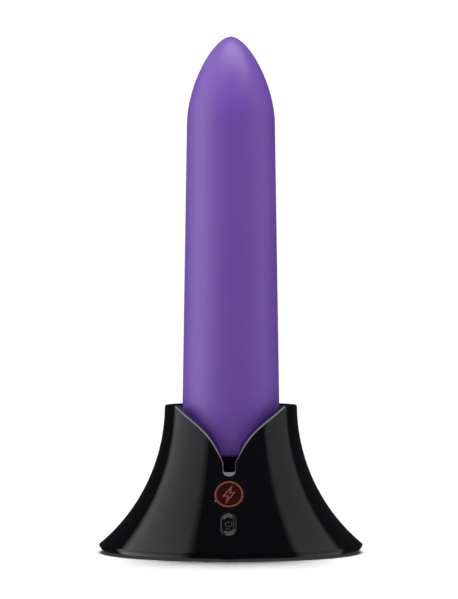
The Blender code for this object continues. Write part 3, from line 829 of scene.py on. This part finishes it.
def notch_half():
    """The notch's right edge seen from the front, from above the rim down to the middle of the slot."""
    curve = bezier(NOTCH_CURVE, 40)
    rise = [Vector((15.4, DOCK_H + 6)), Vector((15.4, DOCK_H + 3)), Vector((14.9, DOCK_H + 1.0))]
    rise.append(Vector((14.5, DOCK_H + 0.45)))
    slot = [Vector((SLOT_X, 23.2))]
    flat = SLOT_X - SLOT_CORNER
    for i in range(9):
        angle = math.radians(-90 * i / 8)
        x = flat + SLOT_CORNER * math.cos(angle)
        slot.append(Vector((x, SLOT_BOTTOM_Z + SLOT_CORNER + SLOT_CORNER * math.sin(angle))))
    slot += [Vector((flat * share, SLOT_BOTTOM_Z)) for share in (0.8, 0.6, 0.4, 0.2)]
    return rise + curve + slot


def ramp(value, low, high):
    """How far a value is from low to high, as a share from 0 to 1."""
    return min(max((value - low) / (high - low), 0.0), 1.0)


def bevel_reach(place, out):
    """How far the bevel reaches beyond the notch: a band along its sides, narrow beside the slot, and
    a round lip at the slot's foot."""
    side = SLOT_EDGE + (EDGE_WIDTH - SLOT_EDGE) * ramp(place.y, NECK_Z, 31.0)
    if place.y > SLOT_BOTTOM_Z + SLOT_CORNER:
        return out * side
    lip = LIP_DEPTH * math.sqrt(1 - (place.x / SLOT_X) ** 2)
    return Vector((out.x * side, -lip))


def draft_reach(place, out):
    """How far the notch's walls draw in towards the funnel: nothing in the slot, more above it."""
    return out * WALL_DRAFT * ramp(place.y, NECK_Z, 28.0)


def notch_outline(reach, share):
    """The whole notch outline, each point grown by a share of reach(point, way out)."""
    half = notch_half()
    grown = [p + reach(p, q - p) * share for p, q in zip(half, offset(half, 1.0))]
    return grown + [Vector((-p.x, p.y)) for p in reversed(grown)]


def notch_ring(outline, radius, least, sink):
    """A notch outline laid on a round surface of the dock, sunk towards its axis; least is the
    depth it keeps where the outline is wider than the surface."""
    ring = []
    for p in outline:
        depth = math.sqrt(max(radius(p.y) ** 2 - p.x**2, least**2))
        ring.append((p.x, sink - depth, p.y))
    return ring


def notch_cutter():
    """The notch as a solid: a bevel where it meets the flare, then walls that draw in to the funnel.

    The faces of the bevel have material 1, whose light grey is a painted highlight."""
    mouth = notch_outline(bevel_reach, 1.3)
    rings = [[(p.x, -45.0, p.y) for p in mouth]]
    for share, sink in ((1.3, -0.3), (1.0, 0.0), (0.9, 0.03), (0.1, 0.36), (0.0, 0.5)):
        rings.append(notch_ring(notch_outline(bevel_reach, share), flare_radius, 6.0, sink))
    for share, sink in ((-1.0, -0.45), (-0.85, -0.1), (-0.3, 0.6)):
        rings.append(notch_ring(notch_outline(draft_reach, share), inner_radius, 3.0, sink))
    made = loft("notch", rings)
    steps = len(mouth)
    for index, face in enumerate(made.data.polygons):
        face.material_index = int(index // steps in (2, 3, 4))
    return made


def surface_hole(name, outline, here, depth, chamfer):
    """A hole through the flare whose mouth is chamfered evenly round its edge."""
    rings = []
    for grow, lift in ((chamfer * 2, 2.0), (chamfer * 2, chamfer), (0.0, -chamfer), (0.0, -depth)):
        ring = shrink(outline, -grow)
        rings.append([on_flare(here, p.x, p.y, lift) for p in ring])
    return loft(name, rings)


def port_frame():
    """A frame on the dock's axis at the port's height: Z out of the dock's back, Y up."""
    turn = Matrix(((-1, 0, 0), (0, 0, 1), (0, 1, 0))).to_4x4()
    return Matrix.Translation((0, 0, PORT_Z)) @ turn


def port_cutter():
    """The port as a solid, whose mouth is chamfered evenly where it meets the flare."""
    outline = rounded_box(PORT_W, PORT_H, 1.5)
    rings = []
    for grow, lift in ((0.5, 4.0), (0.5, 0.25), (0.0, -0.25), (0.0, -6.0)):
        ring = []
        for p in shrink(outline, -grow):
            z = PORT_Z + p.y
            y = math.sqrt(flare_radius(z) ** 2 - p.x**2)
            ring.append((-p.x, y + lift, z))
        rings.append(ring)
    return loft("port", rings)


def make_shell():
    """The flared shell, with the notch, the holes for the controls and the port cut out of it."""
    shell = lathe("shell", shell_profile(), 192)
    notch = notch_cutter()
    # Material 1 is the notch bevel's light grey, a painted highlight.
    for part in (shell, notch):
        part.data.materials.append(GLOSS)
        part.data.materials.append(PAINTED_HIGHLIGHT_EDGE)
    lens = surface_hole("lens", circle(LENS_R + CONTROL_GAP), frame_at(LENS_Z), 5, LENS_CHAMFER)
    oval_hole = oval(BUTTON_W + 2 * CONTROL_GAP, BUTTON_L + 2 * CONTROL_GAP)
    button = surface_hole("button", oval_hole, frame_at(BUTTON_Z), 5, BUTTON_CHAMFER)
    carve(shell, [notch, lens, button, port_cutter()])
    smooth(shell, 38)
    true_flare_normals(shell)
    add(shell, GLOSS, "dock", "gloss_black", "dock_shell")


# ---------------------------------------------------------------- front controls
def domed(name, outline, here, levels):
    """A solid on the flare: rings of the outline scaled by share, each moved up and lifted off the
    flare."""
    rings = []
    for share, lift, up in levels:
        rings.append([on_flare(here, p.x * share, p.y * share + up, lift) for p in outline])
    middle = on_flare(here, 0, levels[-1][2], levels[-1][1])
    verts = [p for ring in rings for p in ring] + [middle]
    steps = len(outline)
    index = numbered(len(rings), steps)
    faces = skin(list(zip(index, index[1:] + [[len(verts) - 1]])), steps)
    faces.append(tuple(index[0]))
    return new_object(name, verts, faces)


def make_lens():
    """The smoked lens, flush with the shell, and the lit lines in it."""
    here = frame_at(LENS_Z)
    levels = [(1.0, -2.4, 0), (1.0, -0.04, 0), (0.996, -0.01, 0), (0.99, 0.0, 0)]
    levels += [(0.99 - 0.09 * i, 0.0, 0) for i in range(1, 11)]
    lens = smooth(domed("lens", circle(LENS_R), here, levels))
    true_flare_normals(lens)
    add(lens, SMOKED, "dock", "gloss_black", "indicator_lens")
    on_front = partial(on_flare, here)
    for name, path, closed in charge_symbol():
        split = 1 if name == "ring" else 8
        made = ribbon(f"lit_{name}", path, MARK_LINE, closed, on_front, 0.04, 0.2, split)
        add(made, AMBER, "dock", "indicator_amber")


def make_button():
    """The oval push button: a rounded rim, broadest below, round a shallow dish with a printed
    symbol."""
    here = frame_at(BUTTON_Z)
    levels = [(1.0, -2.6, 0), (1.0, 0.0, 0), (0.985, 0.07, 0.02), (0.95, 0.17, 0.08)]
    levels += [(0.90, 0.27, 0.17), (0.85, 0.34, 0.26), (0.80, 0.39, 0.35), (0.75, 0.42, 0.42)]
    levels += [(0.70, 0.42, 0.46), (0.65, 0.38, 0.50), (0.58, 0.29, 0.52), (0.52, 0.25, 0.50)]
    levels += [(share, BUTTON_DISH, up) for share, up in ((0.44, 0.42), (0.26, 0.22), (0.1, 0.06))]
    made = smooth(domed("front_key", oval(BUTTON_W, BUTTON_L), here, levels), 50)
    add(made, GLOSS, "dock_button", "gloss_black", "dock_button")

    def in_dish(x, y, lift):
        return on_flare(here, x, y, lift + BUTTON_DISH)

    for name, path, closed in power_symbol(0.82):
        made = ribbon(f"front_key_{name}", path, 0.24, closed, in_dish, 0.04, 0.1)
        add(made, PRINT, "dock_button", "natural_plastic")


# ---------------------------------------------------------------- underside and socket
def around(places):
    """Places as (x, y) from places as (radius, angle in degrees)."""
    turns = [(r, math.radians(a)) for r, a in places]
    return [(r * math.cos(a), r * math.sin(a)) for r, a in turns]


def make_base_plate():
    """The base plate, with a shallow ring groove, recesses for the feet and wells for the screws."""
    low, high = PLATE_Z
    profile = fillet(
        [
            (0, high),
            (PLATE_R, high, 0.2),
            (PLATE_R, low, 0.35),
            (19.2, low, 0.1),
            (19.0, low + 0.35, 0.1),
            (17.6, low + 0.35, 0.1),
            (17.4, low, 0.1),
            (0, low),
        ]
    )
    plate = lathe("underside", profile, 144)
    holes = []
    recess = [(0, 1.9), (4.3, 1.9), (4.3, 1.05), (4.5, 0.85), (4.5, -1), (0, -1)]
    for place in around(FOOT_PLACES):
        holes.append(lathe("recess", recess, 56, place))
    well = [(0, 4), (1.6, 4), (1.6, 2.2), (2.8, 2.2), (2.8, 1.1), (3.05, 0.85), (3.05, -1), (0, -1)]
    for place in around(SCREW_PLACES):
        holes.append(lathe("well", well, 40, place))
    add(smooth(carve(plate, holes)), DARK, "dock", "dark_plastic", "base_plate")


def make_feet():
    pad = fillet([(0, 1.6), (FOOT_PAD_R, 1.6, 0.2), (FOOT_PAD_R, 0.0, 0.5), (0, 0.0)], arc=6)
    for k, place in enumerate(around(FOOT_PLACES)):
        made = smooth(lathe(f"foot_{k + 1}", pad, 56, place))
        add(made, RUBBER, "dock", "rubber", f"foot_pad_{k + 1}")


def make_screws():
    """The base screws: a pointed shank and a pan head with a cross recess."""
    low, high = SCREW_HEAD_Z
    profile = fillet(
        [
            (0, 9.4),
            (0.5, 9.0, 0.2),
            (SCREW_R, 8.0, 0.2),
            (SCREW_R, high),
            (SCREW_HEAD_R, high, 0.15),
            (SCREW_HEAD_R, low + 0.35, 0.3),
            (1.6, low, 0.4),
            (0, low),
        ]
    )
    for k, (x, y) in enumerate(around(SCREW_PLACES)):
        screw = lathe(f"screw_{k + 1}", profile, 40, (x, y))
        blades = []
        here = Matrix.Translation((x, y, 0)) @ Matrix.Rotation(math.radians(20 * k), 4, "Z")
        for w, d in ((1.35, 0.26), (0.26, 1.35)):
            blades.append(prism("blade", rectangle(w, d), 0.2, 1.65, here))
        made = smooth(carve(screw, blades))
        add(made, STEEL, "dock", "steel", f"base_screw_{k + 1}")


def make_contact_block():
    """The socket's floor: a moulded disc with a ring groove, a finger well and the two pin holes."""
    low, high = BLOCK_Z
    profile = fillet(
        [
            (0, high - 1.0),
            (3.7, high - 1.0, 0.3),
            (4.1, high, 0.3),
            (9.9, high, 0.1),
            (10.0, high - 0.25, 0.1),
            (10.6, high - 0.25, 0.1),
            (10.7, high, 0.1),
            (BLOCK_R, high, 0.4),
            (BLOCK_R, 15.9),
            (14.5, 15.9, 0.2),
            (14.5, low, 0.2),
            (0, low),
        ]
    )
    floor = lathe("socket_floor", profile, 112)
    holes = []
    mouth = [(0, 21), (1.75, 21), (1.75, 19.4), (1.4, 19.0), (1.4, 12), (0, 12)]
    for _, sign in SIDES:
        holes.append(lathe("pin_hole", mouth, 40, (sign * CONTACT_X, 0)))
    add(smooth(carve(floor, holes)), DARK, "dock", "dark_plastic", "contact_block")


def make_pins():
    """The charging pins: a hollow barrel with a tail, and a plunger with a round tip."""
    bore = [(0, 10.6), (0.8, 10.6), (0.8, 17.9), (0.6, 17.9), (0.6, 18.4, 0.08)]
    tail = [(0.4, 9.5), (0.4, 8.1, 0.1), (0, 8.1)]
    barrel = fillet(bore + [(1.1, 18.4, 0.15), (1.1, 9.5, 0.15)] + tail)
    plunger = fillet([(0, 19.6), (0.5, 19.55, 0.4), (0.5, 17.7), (0.7, 17.4), (0.7, 14.6), (0, 14.6)])
    for side, sign in SIDES:
        place = (sign * CONTACT_X, 0)
        made = smooth(lathe(f"pin_sleeve_{side}", barrel, 32, place))
        add(made, GOLD, "dock", "brass", f"pin_barrel_{side}")
        made = smooth(lathe(f"pin_tip_{side}", plunger, 32, place))
        add(made, GOLD, f"{side}_pin", "brass", f"pin_plunger_{side}")


def make_pin_springs():
    """The coil springs inside the pins' barrels, each with a mesh of its own."""
    steps = 24
    count = SPRING_TURNS * steps
    for side, sign in SIDES:
        rings = []
        for i in range(count + 1):
            angle = 2 * math.pi * i / steps
            out = Vector((math.cos(angle), math.sin(angle), 0))
            rise = SPRING_Z[0] + (SPRING_Z[1] - SPRING_Z[0]) * i / count
            middle = Vector((sign * CONTACT_X, 0, rise)) + out * SPRING_R
            wire = [out * p.x + Vector((0, 0, p.y)) for p in circle(SPRING_WIRE_R, 10)]
            rings.append([middle + p for p in wire])
        made = smooth(loft(f"coil_{side}", rings), 60)
        add(made, STEEL, "dock", "steel", f"pin_spring_{side}")
        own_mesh(made)


def make_socket():
    """The charging socket behind the port: a drawn steel shell and a tongue with its contacts."""
    here = port_frame()
    outline = rounded_box(USB_W, USB_H, USB_H / 2 - 0.05, 10)
    hollow = rounded_box(USB_W - 0.7, USB_H - 0.7, USB_H / 2 - 0.4, 10)
    shell = prism("charge_socket", outline, *USB_Y, here, 0.12)
    inside = prism("socket_hollow", hollow, USB_Y[0] + 0.5, USB_Y[1] + 1, here)
    made = smooth(carve(shell, [inside]))
    add(made, STEEL, "dock", "steel", "charging_socket_shell")
    tongue = rounded_box(6.4, 0.7, 0.15, 4)
    low, high = USB_Y[0] + 0.8, USB_Y[1] - 1.0
    made = smooth(prism("socket_tongue", tongue, low, high, here, 0.1))
    add(made, CHIP, "dock", "chip_black", "charging_socket_tongue")
    for side, y in (("upper", 0.36), ("lower", -0.36)):
        for k in range(6):
            x = (k - 2.5) * 0.95
            finger = [Vector((x + u, y + v)) for u, v in rectangle(0.2, 0.02)]
            made = prism(f"socket_finger_{side}_{k + 1}", finger, low + 1.0, high - 0.3, here)
            add(made, GOLD, "dock", "brass")


# ---------------------------------------------------------------- stage
def make_camera():
    """The camera, in front of the object and level with its middle."""
    data = bpy.data.cameras.new("camera")
    data.lens = CAMERA_LENS
    data.sensor_width = 36.0
    data.clip_start = 0.05
    data.clip_end = 30.0
    camera = bpy.data.objects.new("camera", data)
    turn = math.radians(CAMERA_TURN)
    across = CAMERA_FAR * math.sin(turn) - CAMERA_ASIDE
    camera.location = (across, -CAMERA_FAR * math.cos(turn), CAMERA_HEIGHT)
    camera.rotation_euler = (math.radians(90), 0, turn)
    bpy.context.scene.collection.objects.link(camera)
    bpy.context.scene.camera = camera


def plain(name, colour, strength):
    """A material that only gives off light."""
    material = bpy.data.materials.new(name)
    material.use_nodes = True
    nodes, links = tree_of(material)
    nodes.clear()
    light_source = nodes.new("ShaderNodeEmission")
    light_source.inputs["Color"].default_value = (*colour, 1.0)
    light_source.inputs["Strength"].default_value = strength
    out = nodes.new("ShaderNodeOutputMaterial")
    links.new(light_source.outputs["Emission"], out.inputs["Surface"])
    return material


def make_floor():
    """The pale floor, and the backdrop dome that only the camera sees."""
    bpy.ops.mesh.primitive_circle_add(vertices=96, radius=FLOOR_R, fill_type="NGON")
    floor = bpy.context.object
    floor.name = "floor"
    material = surface("floor_white", (0.9, 0.9, 0.9), 0.9)
    vary_colour(material, (0.91, 0.91, 0.91), 3)
    glow(material, (1, 1, 1), 0.03)
    shader_of(material).inputs["Specular IOR Level"].default_value = 0.0
    floor.data.materials.append(material)
    floor.visible_glossy = False
    bpy.ops.mesh.primitive_uv_sphere_add(segments=64, ring_count=32, radius=BACKDROP_R)
    dome = bpy.context.object
    dome.name = "backdrop"
    dome.data.materials.append(plain("backdrop_white", (1, 1, 1), 1.05))
    for kind in ("diffuse", "glossy", "transmission", "volume_scatter", "shadow"):
        setattr(dome, f"visible_{kind}", False)


def light_only(lamp, pieces, blockers=()):
    """Keeps a lamp's light to some of the pieces and, where blockers are given, its shadows to those
    that they cast."""
    receivers = bpy.data.collections.new(f"{lamp.name}_receivers")
    for name in pieces:
        receivers.objects.link(bpy.data.objects[name])
    lamp.light_linking.receiver_collection = receivers
    if blockers:
        casters = bpy.data.collections.new(f"{lamp.name}_blockers")
        for name in blockers:
            casters.objects.link(bpy.data.objects[name])
        lamp.light_linking.blocker_collection = casters


def light(name, kind, place, strength, size, glossy=False):
    """A lamp aimed at the object; size is a sun's angle, or a softbox's width and height in metres."""
    data = bpy.data.lights.new(name, kind)
    data.energy = strength
    lamp = bpy.data.objects.new(name, data)
    lamp.location = place
    aim = Vector(LIGHT_AIM) - Vector(place)
    lamp.rotation_euler = aim.to_track_quat("-Z", "Y").to_euler()
    if kind == "AREA":
        data.shape = "RECTANGLE"
        data.size, data.size_y = size
    else:
        data.angle = size
    lamp.visible_camera = False
    lamp.visible_glossy = glossy
    bpy.context.scene.collection.objects.link(lamp)
    return lamp


def reflection_card(name, inner, outer, low, high, near, far):
    """A curved softbox, placed so that the dock's flare mirrors it between two angles round the dock
    and two leans of its surface.

    It is seen only in reflections. Its glow runs from near, at the inner side, to far at the outer,
    and the outer side gets dimmer upwards."""
    across, along = 24, 48
    verts, faces, brightness = [], [], []
    for i in range(across + 1):
        turn = math.radians(inner + (outer - inner) * i / across)
        for k in range(along + 1):
            lean = math.radians(low + (high - low) * k / along)
            x = math.cos(lean) ** 2 * math.sin(2 * turn)
            y = 1 - 2 * math.cos(lean) ** 2 * math.cos(turn) ** 2
            z = math.sin(2 * lean) * math.cos(turn)
            verts.append(Vector((x, y, z)) * CARD_FAR + Vector((0, 0, CARD_HEIGHT)))
            share = i / across
            ends = min(1.0, share * 8) * min(1.0, (1 - share) * 8) * min(1.0, k / along * 20)
            dimmed = far * (1.12 - 0.5 * max(lean, 0.0))
            brightness.append((near + (dimmed - near) * share) * ends)
    for i in range(across):
        for k in range(along):
            a = i * (along + 1) + k
            faces.append((a, a + 1, a + along + 2, a + along + 1))
    mesh = bpy.data.meshes.new(name)
    mesh.from_pydata([v * MM for v in verts], [], faces)
    layer = mesh.attributes.new("glow", "FLOAT", "POINT")
    layer.data.foreach_set("value", brightness)
    card = bpy.data.objects.new(name, mesh)
    bpy.context.scene.collection.objects.link(card)
    material = plain(name, (1.0, 0.97, 1.0), 1.0)
    nodes, links = tree_of(material)
    read = nodes.new("ShaderNodeAttribute")
    read.attribute_name = "glow"
    links.new(read.outputs["Fac"], nodes["Emission"].inputs["Strength"])
    mesh.materials.append(material)
    for kind in ("camera", "diffuse", "transmission", "volume_scatter", "shadow"):
        setattr(card, f"visible_{kind}", False)


def make_world():
    """A nearly black surround, so that the softboxes and the cards do the lighting."""
    world = bpy.data.worlds.new("studio")
    world.use_nodes = True
    world.node_tree.nodes["Background"].inputs["Color"].default_value = (0.02, 0.02, 0.022, 1)
    bpy.context.scene.world = world
    bpy.context.scene.view_settings.view_transform = "Standard"


def make_lights():
    """The lamps, each linked to the pieces that it lights, and the reflection cards."""
    top = light("top_sun", "SUN", (0, -0.05, 1.0), 0.4, math.radians(100))
    right = light("right_softbox", "AREA", (0.80, -0.20, 0.30), 2.2, (0.5, 0.9))
    fill = light("front_fill", "AREA", (0.0, -1.6, 0.35), 2.4, (0.9, 0.9))
    pieces = [o.name for o in bpy.data.objects if o.type == "MESH" and o.name not in STAGE]
    for lamp in (top, right, fill):
        light_only(lamp, pieces)
    floor = light("floor_sun", "SUN", (0, 0.69, 0.72), 5.3, math.radians(34))
    light_only(floor, ["floor"], ["shell", "underside", "socket_floor", "base_cap"])
    key = light("left_softbox", "AREA", (-0.84, -0.14, 0.15), 7.8, (0.9, 0.9), True)
    tip = light("tip_softbox", "AREA", (0.0, -0.13, 0.74), 7.4, (1.2, 0.40), True)
    for lamp in (key, tip):
        light_only(lamp, ["sleeve"])
    edge = light("edge_softbox", "AREA", (0.0, -0.66, 0.26), 2.0, (0.35, 0.30))
    light_only(edge, ["shell", "lens"])
    rim = light("button_softbox", "AREA", (0.12, -0.50, 0.42), 2.7, (0.8, 0.7), True)
    light_only(rim, ["front_key"])
    rear = light("port_softbox", "AREA", (0.10, 0.50, 0.14), 0.35, (0.5, 0.3), True)
    socket = ("charge_socket", "socket_tongue", "socket_finger")
    light_only(rear, [name for name in pieces if name.startswith(socket)])
    reflection_card("left_card", -16.5, -58.0, -60, 54, 0.55, 1.1)
    reflection_card("right_card", 28.5, 58.0, -60, 54, 0.5, 0.42)


def finish_cad_nodes():
    """The CAD nodes that still show get the material of their slot."""
    slots = {s["node"]: s["material_slot"] for s in frame["record"]["subparts"]}
    for name, node in frame["nodes"].items():
        if node.hide_render:
            continue
        material = BY_SLOT[slots[name]]
        if node.material_slots:
            for place in node.material_slots:
                place.material = material
        else:
            node.data.materials.append(material)


make_sleeve()
make_end_cap()
make_contacts()
make_power_button()
make_shell()
make_lens()
make_button()
make_base_plate()
make_feet()
make_screws()
make_contact_block()
make_pins()
make_pin_springs()
make_socket()
finish_cad_nodes()
make_camera()
make_floor()
make_lights()
make_world()
